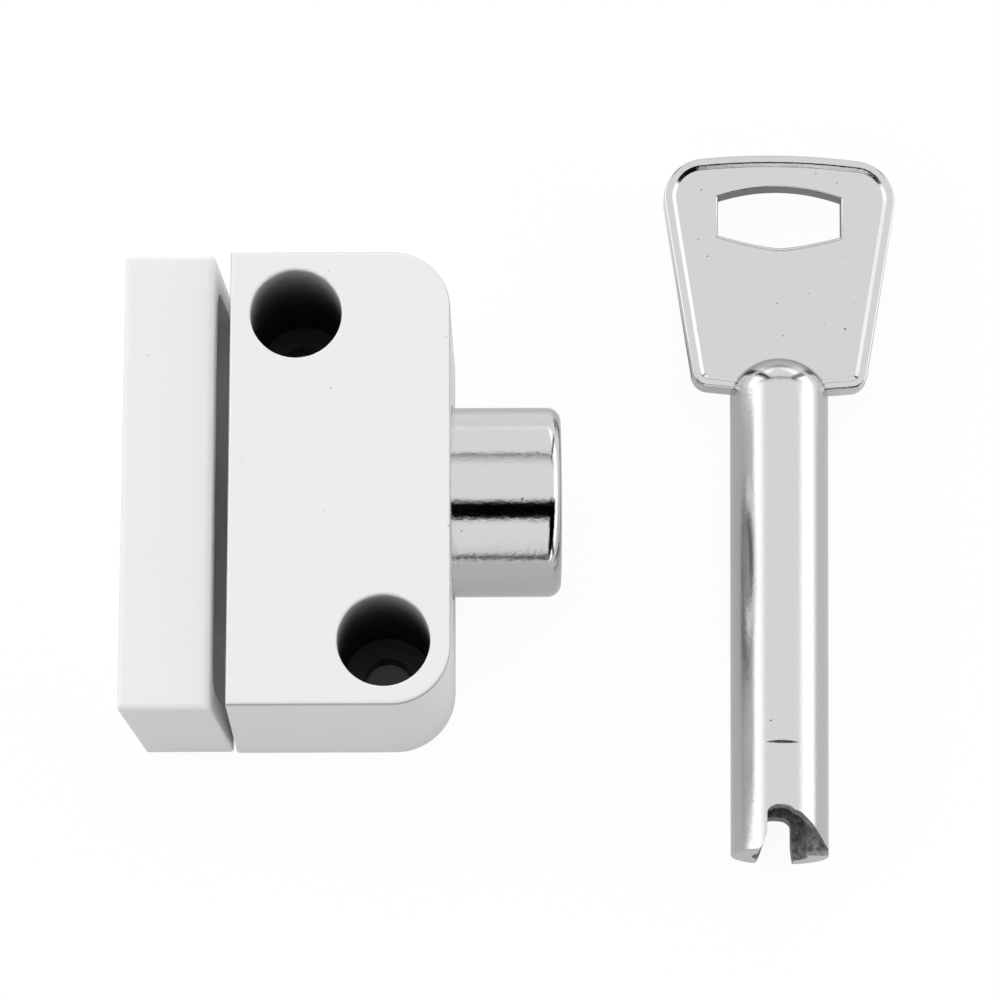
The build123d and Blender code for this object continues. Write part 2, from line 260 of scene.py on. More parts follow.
class LOCK_PG_button(bpy.types.PropertyGroup):
    """Sizes of the push button, its bolt and its springs"""

    end_round: length("End round", "Radius round the button's outer end", 1.15)
    ease: length("Ease", "Softness of the turned edges", 0.22)
    keyhole: length("Keyhole", "Radius of the keyhole", 4.45)
    spring_pocket: length("Spring pocket", "Radius of the pocket for the return spring", 6.2)
    bolt: length("Bolt", "Radius of the bolt", 4.5)
    bolt_chamfer: length("Bolt chamfer", "Chamfer round the bolt's tip", 0.7)
    head: length("Bolt head", "Thickness of the bolt's head", 2.0)
    travel: length("Travel", "Distance that the button moves", 6.8)
    wire: length("Wire", "Radius of the return spring's wire", 0.48)
    catch_wire: length("Catch spring wire", "Radius of the catch spring's wire", 0.2)


class LOCK_PG_key(bpy.types.PropertyGroup):
    """Sizes of the key"""

    tip_x: length("Tip X", "Place of the key's tip along X", 37.1)
    tip_radius: length("Tip radius", "Radius of the shaft at its tip", 4.17)
    shaft_radius: length("Shaft radius", "Radius of the shaft at the bow", 4.29)
    total: length("Length", "Length of the key", 62.75)
    bow_height: length("Bow height", "Height of the bow", 21.4)
    top_width: length("Top width", "Width of the bow at its top", 21.6)
    foot_width: length("Foot width", "Width of the bow at its foot", 15.0)
    thickness: length("Thickness", "Thickness of the bow", 2.3)
    dome: length("Dome", "Length of the shaft's domed end", 2.7)
    lean: angle("Lean", "Turn of the key from the lock's long direction", 1.15)


class LOCK_PG_finish(bpy.types.PropertyGroup):
    """Colours of the finishes"""

    paint: tint("Paint", "White stoving enamel on the castings", "#F9F9F8")
    chrome: tint("Chrome", "Chromium plate on the button", "#CBCBCC")
    nickel: tint("Nickel", "Nickel plate on the key", "#CBCBCA")
    # At a small share this colour is also the painted shade deep in the case's holes
    raw_zinc: tint("Raw zinc", "Bare casting where there is no paint or plate", "#8A8A88")
    steel: tint("Steel", "Turned and blanked steel", "#B9B9BB")
    spring_steel: tint("Spring steel", "Drawn wire of the springs", "#A3A3A6")
    floor: tint("Floor", "Plain pale floor", "#BEBEBE")


def grid_faces(rows, columns, closed_rows=False):
    """Quads of a grid whose columns run round a ring.

    Each quad joins a point to the next one in its row and to the same two in the next row.
    """
    row = np.arange(rows if closed_rows else rows - 1)[:, None]
    column = np.arange(columns)[None, :]
    next_row = (row + 1) % rows
    next_column = (column + 1) % columns
    corners = (
        row * columns + column,
        row * columns + next_column,
        next_row * columns + next_column,
        next_row * columns + column,
    )
    return np.stack(np.broadcast_arrays(*corners), -1).reshape(-1, 4).tolist()


def solid(name, rings, closed_rows=False, material=None):
    """A closed solid from rings of points in millimetres: quads between rings, a flat face on each end."""
    rows, columns = rings.shape[:2]
    faces = grid_faces(rows, columns, closed_rows)
    if not closed_rows:
        faces.append(list(range(columns)))
        faces.append(list(range((rows - 1) * columns, rows * columns)))
    mesh = bpy.data.meshes.new(name)
    mesh.from_pydata(rings.reshape(-1, 3) * MM, [], faces)
    work = bmesh.new()
    work.from_mesh(mesh)
    bmesh.ops.recalc_face_normals(work, faces=work.faces)
    work.to_mesh(mesh)
    work.free()
    piece = bpy.data.objects.new(name, mesh)
    bpy.context.scene.collection.objects.link(piece)
    if material:
        mesh.materials.append(material)
    return piece


def softened(profile, cut, steps=5, closed=False):
    """A profile with its corners eased.

    Each corner becomes a quadratic curve from cut before it to cut after it, or less on a short side.
    """
    here = np.asarray(profile, float)
    before, after = np.roll(here, 1, 0), np.roll(here, -1, 0)
    if not closed:
        here, before, after = here[1:-1], before[1:-1], after[1:-1]
    back, on = before - here, after - here
    back_length = np.linalg.norm(back, axis=1, keepdims=True)
    on_length = np.linalg.norm(on, axis=1, keepdims=True)
    reach = np.minimum(cut, 0.4 * np.minimum(back_length, on_length))
    start = here + back / back_length * reach
    end = here + on / on_length * reach
    t = np.linspace(0, 1, steps)[None, :, None]
    curve = (1 - t) ** 2 * start[:, None] + 2 * t * (1 - t) * here[:, None] + t**2 * end[:, None]
    curve = curve.reshape(-1, 2)
    if closed:
        return curve
    return np.concatenate([np.asarray(profile[:1], float), curve, np.asarray(profile[-1:], float)])


def turned(profile, origin, axis, count=ROUND_COUNT):
    """Rings of a turned form: each (distance along the axis, radius) pair is carried round the axis."""
    axis = np.asarray(axis, float)
    side = np.array([0.0, 0.0, 1.0]) if abs(axis[2]) < 0.9 else np.array([1.0, 0.0, 0.0])
    side = side - axis * (side @ axis)
    side /= np.linalg.norm(side)
    other = np.cross(axis, side)
    turn = np.linspace(0, 2 * pi, count, endpoint=False)[None, :, None]
    profile = np.asarray(profile, float)
    along, radius = profile[:, 0][:, None, None], profile[:, 1][:, None, None]
    return np.asarray(origin) + along * axis + radius * (np.cos(turn) * side + np.sin(turn) * other)


def block(low, high, corners, edge, lean, rake=0.0, count=20):
    """Rings of a cast block: a rounded rectangle that shrinks by lean and shifts by rake with its height.

    Over the last edge of the height the shrinkage follows a quarter circle. The front starts inside that.
    """
    turn = np.linspace(0, pi / 2, 8)
    height = high[2] - low[2]
    shoulder = height - edge
    rise = np.concatenate([[0, shoulder / 2], shoulder + edge * np.sin(turn), [height]])
    inset = np.concatenate([[0, 0], edge * (1 - np.cos(turn)), [edge + FRONT_INSET]])
    inset = inset + lean * np.minimum(rise, shoulder)
    sign = np.array([[-1, -1], [1, -1], [1, 1], [-1, 1]])
    start = np.array([pi, 1.5 * pi, 0, 0.5 * pi])
    heading = start[:, None] + np.linspace(0, pi / 2, count)[None, :]
    radius = np.maximum(np.asarray(corners)[None, :] - inset[:, None], SHARPEST_CORNER)
    middle = (np.asarray(low[:2]) + np.asarray(high[:2])) / 2
    half = (np.asarray(high[:2]) - np.asarray(low[:2])) / 2
    centre = middle + sign * (half - inset[:, None, None] - radius[:, :, None])
    outward = np.stack([np.cos(heading), np.sin(heading)], -1)
    points = (centre[:, :, None, :] + radius[:, :, None, None] * outward).reshape(len(rise), -1, 2)
    x = points[..., 0] - rake * rise[:, None]
    z = np.broadcast_to(low[2] + rise[:, None], x.shape)
    return np.stack([x, points[..., 1], z], -1)


def prism(outline, bottom, top):
    """Rings of a straight prism: a plan outline at its bottom and its top height."""
    outline = np.asarray(outline, float)
    flat = np.broadcast_to(outline, (2, *outline.shape))
    height = np.broadcast_to(np.array([bottom, top])[:, None, None], (2, len(outline), 1))
    return np.concatenate([flat, height], -1)


def rectangle(low_x, low_y, high_x, high_y):
    """Corners of a rectangle, in order round it."""
    return [(low_x, low_y), (high_x, low_y), (high_x, high_y), (low_x, high_y)]


def carve(body, tools, operation="DIFFERENCE"):
    """Cuts tools out of a body, or joins them to it, as one mesh; cut faces take the tool's material."""
    for tool in tools:
        modifier = body.modifiers.new(tool.name, "BOOLEAN")
        modifier.operation = operation
        modifier.solver = "EXACT"
        modifier.material_mode = "TRANSFER"
        modifier.object = tool
    bpy.context.view_layer.update()
    result = bpy.data.meshes.new_from_object(body.evaluated_get(bpy.context.evaluated_depsgraph_get()))
    body.modifiers.clear()
    spent = [body.data] + [tool.data for tool in tools]
    body.data = result
    for tool in tools:
        bpy.data.objects.remove(tool)
    for mesh in spent:
        bpy.data.meshes.remove(mesh)
    result.name = body.name
    return body


def finish_piece(piece, body, slot, *nodes):
    """Smooth shading that keeps flats flat, and the piece's place in the frame."""
    mesh = piece.data
    work = bmesh.new()
    work.from_mesh(mesh)
    bmesh.ops.remove_doubles(work, verts=work.verts, dist=MERGE_REACH * MM)
    bmesh.ops.dissolve_degenerate(work, edges=work.edges, dist=SLIVER_LENGTH * MM)
    work.to_mesh(mesh)
    work.free()
    mesh.shade_smooth()
    mesh.set_sharp_from_angle(angle=SMOOTH_ANGLE)
    normals = piece.modifiers.new("Flat faces", "WEIGHTED_NORMAL")
    normals.keep_sharp = True
    normals.weight = FLAT_WEIGHT
    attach(piece, body)
    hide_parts(*nodes)
    return piece


def add_node(tree, kind, values=None, links=None, stops=None, **settings):
    """Adds one node: its settings, the values of its sockets, what is linked to them and its ramp's stops."""
    made = tree.nodes.new("ShaderNode" + kind)
    for setting, value in settings.items():
        setattr(made, setting, value)
    for socket, value in (values or {}).items():
        made.inputs[socket].default_value = value
    connect(tree, made, links or {})
    if stops:
        elements = made.color_ramp.elements
        elements.remove(elements[1])
        elements[0].position = stops[0][0]
        for place, _ in stops[1:]:
            elements.new(place)
        for element, (_, value) in zip(elements, stops):
            element.color = (value, value, value, 1)
    return made


def connect(tree, node, links):
    """Links an output to each named socket of a node."""
    for socket, source in links.items():
        tree.links.new(source, node.inputs[socket])


def combine(tree, operation, first, second):
    """Two outputs combined by arithmetic."""
    return add_node(tree, "Math", links={0: first, 1: second}, operation=operation).outputs["Value"]


def near(tree, value, middle, reach):
    """1 where an output lies within reach of the middle, in millimetres, and 0 elsewhere."""
    values = {1: middle * MM, 2: reach * MM}
    return add_node(tree, "Math", values, {0: value}, operation="COMPARE").outputs["Value"]


def remap(tree, value, source=(0.0, 1.0), target=(0.0, 1.0)):
    """An output stretched from one range to another."""
    values = {"From Min": source[0], "From Max": source[1], "To Min": target[0], "To Max": target[1]}
    return add_node(tree, "MapRange", values, {"Value": value}).outputs["Result"]


def ramp(tree, value, stops):
    """An output turned into greys by a ramp."""
    return add_node(tree, "ValToRGB", links={"Fac": value}, stops=stops).outputs["Color"]


def per_metre(millimetres):
    """The texture scale that gives a pattern of this size."""
    return 1 / (millimetres * MM)


def noise(tree, place, millimetres, detail, roughness=0.5):
    """Noise whose largest grains have this size."""
    values = {"Scale": per_metre(millimetres), "Detail": detail, "Roughness": roughness}
    return add_node(tree, "TexNoise", values, {"Vector": place}).outputs["Fac"]


def mottle(tree, share, first, second):
    """Two colours mixed by an output."""
    values = {"A": first, "B": second}
    return add_node(tree, "Mix", values, {"Factor": share}, data_type="RGBA").outputs["Result"]


def relief(tree, height, strength, millimetres):
    """The normal of a surface that an output raises by this much."""
    values = {"Strength": strength, "Distance": millimetres * MM}
    return add_node(tree, "Bump", values, {"Height": height}).outputs["Normal"]


def rgba(colour, share=1.0):
    """A linear colour, or a share of it, as a socket takes it."""
    return (*(share * channel for channel in colour), 1)


def start_material(name):
    """An empty material with its output, its surface shader and the piece's own coordinates."""
    material = bpy.data.materials.new(name)
    material.use_nodes = True
    tree = material.node_tree
    tree.nodes.clear()
    output = add_node(tree, "OutputMaterial")
    surface = add_node(tree, "BsdfPrincipled")
    connect(tree, output, {"Surface": surface.outputs["BSDF"]})
    place = add_node(tree, "TexCoord").outputs["Object"]
    return material, tree, surface, place


def stoved_enamel(finish, line_at=None):
    """White stoving enamel over a zinc casting.

    It has a low gloss, a faint orange peel about a millimetre across and a few dust specks under the coat.
    Within EDGE_LINE of a height, if one is given, its colour is a darker grey: a line round the casting just
    under its front edge.
    """
    material, tree, surface, place = start_material("white_stoving_enamel")
    peel = noise(tree, place, 1.1, 3.0, 0.55)
    speck = ramp(tree, noise(tree, place, 0.55, 2.0), [(0.77, 0.0), (0.8, 1.0)])
    gloss = remap(tree, noise(tree, place, 7.0, 2.0), target=(0.27, 0.4))
    colour = mottle(tree, speck, rgba(finish.paint), rgba(finish.paint, 0.55))
    if line_at is not None:
        # A darker grey band round the casting at one height, just under its front edge
        height = add_node(tree, "SeparateXYZ", links={"Vector": place}).outputs["Z"]
        grey_band = near(tree, height, line_at, EDGE_LINE)
        colour = add_node(
            tree, "Mix", {"B": rgba(finish.paint, 0.53)}, {"Factor": grey_band, "A": colour}, data_type="RGBA"
        ).outputs["Result"]
    bump = relief(tree, peel, 0.6, 0.012)
    connect(tree, surface, {"Base Color": colour, "Roughness": gloss, "Normal": bump})
    return material


def thin_paint_and_shade(finish, front):
    """The inside of a painted casting: painted shade that darkens with the depth below the front towards
    near-black zinc, standing also for the paint thinning out.
    """
    material, tree, surface, place = start_material("thin_paint_and_painted_shade")
    height = add_node(tree, "SeparateXYZ", links={"Vector": place}).outputs["Z"]
    blown = remap(tree, noise(tree, place, 1.5, 3.0), target=(-0.6 * MM, 0.6 * MM))
    level = combine(tree, "ADD", height, blown)
    # Painted shade: near-black zinc deep in a hole, going over to the white paint towards the front
    unshaded = ramp(tree, remap(tree, level, ((front - PAINT_SHADE_REACH) * MM, front * MM)), PAINT_SHADE_COVER)
    colour = mottle(tree, unshaded, rgba(finish.raw_zinc, 0.12), rgba(finish.paint))
    surface.inputs["Roughness"].default_value = 0.45
    connect(tree, surface, {"Base Color": colour})
    return material


def bright_plate(name, colour, ripple, depth, rough):
    """Bright plate on a polished casting: mirror-like, with ripples from polishing and a few pin holes."""
    material, tree, surface, place = start_material(name)
    surface.inputs["Metallic"].default_value = 1.0
    wave = noise(tree, place, ripple, 5.0, 0.65)
    pit = ramp(tree, noise(tree, place, 0.5, 1.0), [(0.79, 0.0), (0.82, 1.0)])
    gloss = remap(tree, noise(tree, place, 4.0, 3.0), target=(0.7 * rough, 1.3 * rough))
    shade = mottle(tree, pit, rgba(colour), rgba(colour, 0.35))
    bump = relief(tree, combine(tree, "SUBTRACT", wave, pit), 1.0, depth)
    connect(tree, surface, {"Base Color": shade, "Roughness": gloss, "Normal": bump})
    return material


def chromium_plate(finish):
    """Chromium plate on the turned button."""
    return bright_plate("chromium_plate", finish.chrome, ripple=0.9, depth=0.02, rough=0.09)


def nickel_plate(finish):
    """Nickel plate on the cast key, with finer ripples than turned work has."""
    return bright_plate("nickel_plate", finish.nickel, ripple=0.4, depth=0.015, rough=0.13)


def raw_zinc(finish):
    """Bare zinc where the plate is cut through: dull, dark and torn, with a grain of about 0.6 mm."""
    material, tree, surface, place = start_material("raw_zinc_casting")
    surface.inputs["Metallic"].default_value = 0.5
    grain = noise(tree, place, 0.6, 5.0, 0.7)
    torn = remap(tree, grain, (0.35, 0.65))
    shade = mottle(tree, torn, rgba(finish.raw_zinc, 0.35), rgba(finish.raw_zinc, 1.8))
    surface.inputs["Roughness"].default_value = 0.5
    connect(tree, surface, {"Base Color": shade, "Normal": relief(tree, grain, 1.0, 0.12)})
    return material


def machined_metal(name, colour, pitch, direction, rough):
    """Machined metal: a satin shine with fine parallel tool marks, a few tenths of a millimetre apart."""
    material, tree, surface, place = start_material(name)
    surface.inputs["Metallic"].default_value = 1.0
    marks = add_node(
        tree, "TexWave", {"Scale": per_metre(pitch) / 20, "Distortion": 1.5, "Detail": 2.0},
        {"Vector": place}, wave_type="BANDS", bands_direction=direction
    ).outputs["Fac"]
    stain = noise(tree, place, 2.5, 3.0)
    gloss = remap(tree, stain, target=(0.75 * rough, 1.25 * rough))
    shade = mottle(tree, stain, rgba(colour), rgba(colour, 0.7))
    bump = relief(tree, marks, 0.5, 0.006)
    connect(tree, surface, {"Base Color": shade, "Roughness": gloss, "Normal": bump})
    return material


def flared_hole(radius, floor, face, rim):
    """Profile of a hole's cutting tool: straight, then flared by a quarter circle that rounds the rim."""
    turn = np.linspace(0, pi / 2, 7)
    flare = np.stack([face - rim + rim * np.sin(turn), radius + rim * (1 - np.cos(turn))], -1)
    return np.concatenate([[(floor, radius)], flare, [(face + CUTTER_OVERRUN, radius + rim)]])


class LOCK_OT_case(bpy.types.Operator):
    """Builds the painted case with its bore, its screw recesses and the window in its back"""

    bl_idname = "push_lock.case"
    bl_label = "Case"

    def execute(self, context):
        sizes, button = context.scene.lock_casting, context.scene.lock_button
        finish = context.scene.lock_finish
        edge, lean = sizes.case_edge / MM, tan(sizes.draft)
        paint = stoved_enamel(finish, case_high[2] - edge)
        corners = np.array([sizes.square_corner, sizes.corner, sizes.corner, sizes.square_corner]) / MM
        case = solid("case", block(case_low, case_high, corners, edge, lean), material=paint)
        # The bore and the holes get painted shade that darkens with their depth
        inside = thin_paint_and_shade(finish, case_high[2])
        rim, gap = sizes.rim / MM, sizes.bore_gap / MM
        bore_floor = case_low[0] + sizes.end_wall / MM
        bore_face = case_high[0] - lock_axis[2] * lean
        bore = turned(flared_hole(button_radius + gap, bore_floor, bore_face, rim), lock_axis, X_AXIS)
        shift = (bore[..., 2] - lock_axis[2]) * lean
        bore[..., 0] -= np.where(bore[..., 0] > bore_floor, shift, 0)
        bolt = button.bolt / MM + gap
        bolt_hole = [(case_low[0] - CUTTER_OVERRUN, bolt), (bore_floor + CUTTER_OVERRUN / 2, bolt)]
        tools = [
            solid("bore", bore, material=inside),
            solid("bolt_hole", turned(bolt_hole, lock_axis, X_AXIS), material=inside),
        ]
        floor, hole = sizes.screw_floor / MM, sizes.screw_hole / MM
        recess = flared_hole(sizes.screw_recess / MM, floor, case_high[2], rim)
        profile = np.concatenate([[(-CUTTER_OVERRUN, hole), (floor, hole)], recess])
        for side in (1, -1):
            centre = (-side * sizes.screw_across / MM, side * sizes.screw_along / MM, 0)
            tools.append(solid("screw_recess", turned(profile, centre, Z_AXIS), material=inside))
        window_x = (catch_low[0] + catch_high[0]) / 2 - button.travel / MM
        half_x, half_y = (catch_high[0] - catch_low[0]) / 2 + LOOSE_GAP, catch_high[1] + LOOSE_GAP
        window = rectangle(window_x - half_x, -half_y, window_x + half_x, half_y)
        tools.append(solid("window", prism(window, -CUTTER_OVERRUN, lock_axis[2]), material=inside))
        pin_centre = ((pin_low[0] + pin_high[0]) / 2, (pin_low[1] + pin_high[1]) / 2, 0)
        pin_radius = (pin_high[0] - pin_low[0]) / 2
        pin_hole = [(-CUTTER_OVERRUN, pin_radius), (lock_axis[2] - PIN_HOLE_DROP, pin_radius)]
        tools.append(solid("pin_hole", turned(pin_hole, pin_centre, Z_AXIS, 32), material=inside))
        finish_piece(carve(case, tools), "lock", "white_paint", "lock_case")
        return {"FINISHED"}


class LOCK_OT_keeper(bpy.types.Operator):
    """Builds the painted keeper block with its hollow, its bolt pocket and its screw holes"""

    bl_idname = "push_lock.keeper"
    bl_label = "Keeper"

    def execute(self, context):
        sizes, button = context.scene.lock_casting, context.scene.lock_button
        paint = stoved_enamel(context.scene.lock_finish)
        height = keeper_high[2] - keeper_low[2]
        lean = (keeper_high[0] - keeper_low[0] - KEEPER_WIDTH) / height
        low = np.array([keeper_high[0] - KEEPER_WIDTH, keeper_low[1], keeper_low[2]])
        corners = np.full(4, sizes.square_corner / MM)
        rings = block(low, keeper_high, corners, sizes.keeper_edge / MM, 0.0, lean)
        keeper = solid("keeper_block", rings, material=paint)
        floor = keeper_high[0] - lean * height / 2 - KEEPER_WIDTH + sizes.keeper_back / MM
        wall, corner = sizes.keeper_wall / MM, sizes.hollow_corner / MM
        half_length, half_height = (keeper_high[1] - keeper_low[1]) / 2 - wall, height / 2 - wall
        opening = rectangle(-half_length, -half_height, half_length, half_height)
        outline = softened(opening, HOLLOW_CUT * corner, 8, closed=True)
        hollow = np.roll(prism(outline, floor, case_low[0]), 1, -1) + (0, 0, height / 2)
        tools = [solid("hollow", hollow, material=paint)]
        pocket_floor = bolt_low[0] - button.travel / MM - POCKET_END_GAP
        pocket_radius = button.bolt / MM + sizes.pocket_gap / MM
        pocket = [(pocket_floor, pocket_radius), (case_low[0], pocket_radius)]
        tools.append(solid("pocket", turned(pocket, lock_axis, X_AXIS), material=paint))
        radius = sizes.screw_hole / MM
        hole = [(floor - KEEPER_WIDTH, radius), (floor + CUTTER_OVERRUN, radius)]
        for side in (1, -1):
            centre = (0, side * sizes.keeper_screw_along / MM, height / 2)
            tools.append(solid("keeper_screw", turned(hole, centre, X_AXIS, 64), material=paint))
        finish_piece(carve(keeper, tools), "lock", "white_paint", "keeper")
        return {"FINISHED"}


class LOCK_OT_button(bpy.types.Operator):
    """Builds the chromed button, hollow at both ends, with the slots for the catch and the stop pin"""

    bl_idname = "push_lock.button"
    bl_label = "Push button"

    def execute(self, context):
        sizes = context.scene.lock_button
        plate = chromium_plate(context.scene.lock_finish)
        inner, end, edge = button_low[0], button_high[0], sizes.end_round / MM
        seat = bolt_high[0] - sizes.head / MM
        shoulder = cam_high[0] - CAM_BLADE_LENGTH + SLIDE_GAP
        keyhole, pocket = sizes.keyhole / MM, sizes.spring_pocket / MM
        turn = np.linspace(0, pi / 2, 12)
        round_end = np.stack(
            [end - edge * (1 - np.sin(turn)), button_radius - edge * (1 - np.cos(turn))], -1
        )
        section = [
            (inner, pocket),
            (inner, button_radius),
            *round_end,
            (end, keyhole + KEYHOLE_CHAMFER),
            (end - KEYHOLE_CHAMFER, keyhole),
            (shoulder, keyhole),
            (shoulder, head_radius),
            (seat, head_radius),
            (seat, pocket),
        ]
        rings = turned(softened(section, sizes.ease / MM, closed=True), lock_axis, X_AXIS, 192)
        button = solid("button", rings, closed_rows=True, material=plate)
        slot = rectangle(*(catch_low - SLIDE_GAP)[:2], *(catch_high + SLIDE_GAP)[:2])
        pin_reach = pin_high + (sizes.travel / MM, 0, 0)
        keyway = rectangle(*(pin_low - SLIDE_GAP)[:2], *(pin_reach + SLIDE_GAP)[:2])
        spring_centre = ((catch_spring_low[0] + catch_spring_high[0]) / 2, 0, 0)
        spring_top = catch_spring_high[2] + SPRING_HOLE_GAP
        spring_hole = [(lock_axis[2], SPRING_HOLE_RADIUS), (spring_top, SPRING_HOLE_RADIUS)]
        slot_top, keyway_top = catch_high[2] + (CATCH_LIFT + SLIDE_GAP), pin_high[2] + LOOSE_GAP
        tools = [
            solid("catch_slot", prism(slot, 0, slot_top), material=plate),
            solid("keyway", prism(keyway, 0, keyway_top), material=plate),
            solid("spring_hole", turned(spring_hole, spring_centre, Z_AXIS, 48), material=plate),
        ]
        finish_piece(carve(button, tools), "plunger", "chrome_plate", "push_button")
        return {"FINISHED"}


class LOCK_OT_bolt(bpy.types.Operator):
    """Builds the turned bolt"""

    bl_idname = "push_lock.bolt"
    bl_label = "Bolt"

    def execute(self, context):
        sizes = context.scene.lock_button
        steel = machined_metal(
            "turned_steel", context.scene.lock_finish.steel, pitch=0.25, direction="X", rough=0.28
        )
        radius, chamfer = sizes.bolt / MM, sizes.bolt_chamfer / MM
        seat = bolt_high[0] - sizes.head / MM
        section = [
            (bolt_low[0], POLE_RADIUS),
            (bolt_low[0], radius - chamfer),
            (bolt_low[0] + chamfer, radius),
            (seat, radius),
            (seat, head_radius),
            (bolt_high[0], head_radius),
            (bolt_high[0], POLE_RADIUS),
        ]
        bolt = solid("lock_bolt", turned(softened(section, BOLT_EASE), lock_axis, X_AXIS), material=steel)
        finish_piece(bolt, "plunger", "steel", "bolt")
        return {"FINISHED"}


def coil(low, high, radius, wire, turns, count):
    """Rings of a coil spring along Z: a circle of wire carried along a helix that closes up at both ends.

    The height is t less a share of its sine wave, and what passes the ends is ground flat.
    """
    t = np.linspace(0, 1, count)[:, None]
    turn = 2 * pi * turns * t
    height = low + (high - low) * (t - COIL_CLOSING * np.sin(2 * pi * t) / (2 * pi))
    section = np.linspace(0, 2 * pi, 20, endpoint=False)[None, :]
    reach = radius + wire * np.cos(section)
    z = np.clip(height + wire * np.sin(section), low, high)
    return np.stack([reach * np.cos(turn), reach * np.sin(turn), z], -1)


class LOCK_OT_springs(bpy.types.Operator):
    """Builds the return spring and the catch spring from round wire, with ground ends"""

    bl_idname = "push_lock.springs"
    bl_label = "Springs"

    def execute(self, context):
        sizes = context.scene.lock_button
        wire_steel = machined_metal(
            "drawn_spring_wire", context.scene.lock_finish.spring_steel, pitch=0.2, direction="Z", rough=0.3
        )
        wire = sizes.wire / MM
        radius = (spring_high[1] - spring_low[1]) / 2 - wire
        rings = coil(spring_low[0], spring_high[0], radius, wire, turns=4, count=320)
        along_x = np.stack([rings[..., 2], rings[..., 0], rings[..., 1] + lock_axis[2]], -1)
        spring = solid("return_coil", along_x, material=wire_steel)
        finish_piece(spring, "lock", "spring_steel", "return_spring")
        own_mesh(spring)
        wire = sizes.catch_wire / MM
        middle = (catch_spring_low + catch_spring_high) / 2
        radius = (catch_spring_high[0] - catch_spring_low[0]) / 2 - wire
        rings = coil(catch_spring_low[2], catch_spring_high[2], radius, wire, turns=5, count=260)
        spring = solid("catch_coil", rings + np.array([middle[0], middle[1], 0]), material=wire_steel)
        finish_piece(spring, "plunger", "spring_steel", "catch_spring")
        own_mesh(spring)
        return {"FINISHED"}


class LOCK_OT_works(bpy.types.Operator):
    """Finishes the catch, the stop pin and the key cam, whose CAD solids show as they are"""

    bl_idname = "push_lock.works"
    bl_label = "Catch, pin and cam"

    def execute(self, context):
        steel = context.scene.lock_finish.steel
        metals = {
            "catch": machined_metal("blanked_steel", steel, pitch=0.3, direction="Z", rough=0.35),
            "stop_pin": machined_metal("drawn_steel", steel, pitch=0.2, direction="Z", rough=0.25),
            "key_cam": machined_metal("milled_steel", steel, pitch=0.25, direction="Y", rough=0.3),
        }
        for name, metal in metals.items():
            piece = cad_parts[name]
            piece.data.materials.clear()
            piece.data.materials.append(metal)
        return {"FINISHED"}


def bow_rings(sizes):
    """Rings of the key's bow: its rounded outline at each inset and level of the rim's section.

    A corner's arc keeps its centre as the outline shrinks, until its radius reaches the smallest one. The
    rim's section rises from the sunk face to a soft crest and falls to the parting line, the same on both
    faces. Near the top the outline is crowned by a parabola across the width.
    """
    top = sizes.total / MM - BOW_CROWN
    foot = (sizes.total - sizes.bow_height) / MM
    half_top, half_foot = sizes.top_width / MM / 2, sizes.foot_width / MM / 2
    half = sizes.thickness / MM / 2
    corner = np.array(
        [(-half_top, top), (-half_foot, foot), (0, foot - BOW_DIP), (half_foot, foot), (half_top, top)]
    )
    radius = np.array([BOW_TOP_CORNER, BOW_FOOT_CORNER, BOW_DIP_CORNER, BOW_FOOT_CORNER, BOW_TOP_CORNER])
    edge = np.roll(corner, -1, 0) - corner
    edge /= np.linalg.norm(edge, axis=1, keepdims=True)
    inward = np.stack([-edge[:, 1], edge[:, 0]], -1)
    before = np.roll(inward, 1, 0)
    mitre = (before + inward) / (1 + np.sum(before * inward, 1, keepdims=True))
    slope, crest = softened(RIM_FOOT, RIM_FOOT_EASE), softened(RIM_CREST, RIM_CREST_EASE)
    upper = np.concatenate([slope[:-1], crest[1:]]) + (0, half)
    rim = np.concatenate([upper, upper[::-1] * (1, -1)])
    inset, level = rim[:, 0], rim[:, 1]
    arc = np.maximum(radius[None, :] - inset[:, None], SHARPEST_ARC)
    centre = corner + mitre * (inset[:, None] + arc)[..., None]
    start = np.arctan2(-before[:, 1], -before[:, 0])
    turn = np.arctan2(-inward[:, 1], -inward[:, 0]) - start
    turn = (turn + pi) % (2 * pi) - pi
    heading = start[:, None] + turn[:, None] * np.linspace(0, 1, 24)[None, :]
    outward = np.stack([np.cos(heading), np.sin(heading)], -1)
    arcs = centre[:, :, None, :] + arc[:, :, None, None] * outward
    start, end = arcs[:, :, -1:], np.roll(arcs[:, :, :1], -1, 1)
    sides = start + (end - start) * np.linspace(0, 1, 18)[1:-1, None]
    points = np.concatenate([arcs, sides], 2).reshape(len(inset), -1, 2)
    near_top = np.clip((points[..., 1] - (top - CROWN_START)) / CROWN_BLEND, 0, 1)
    crowned = near_top * (1 - (points[..., 0] / half_top) ** 2)
    along = points[..., 1] + BOW_CROWN * crowned
    return np.stack([points[..., 0], along, np.broadcast_to(level[:, None], along.shape)], -1)


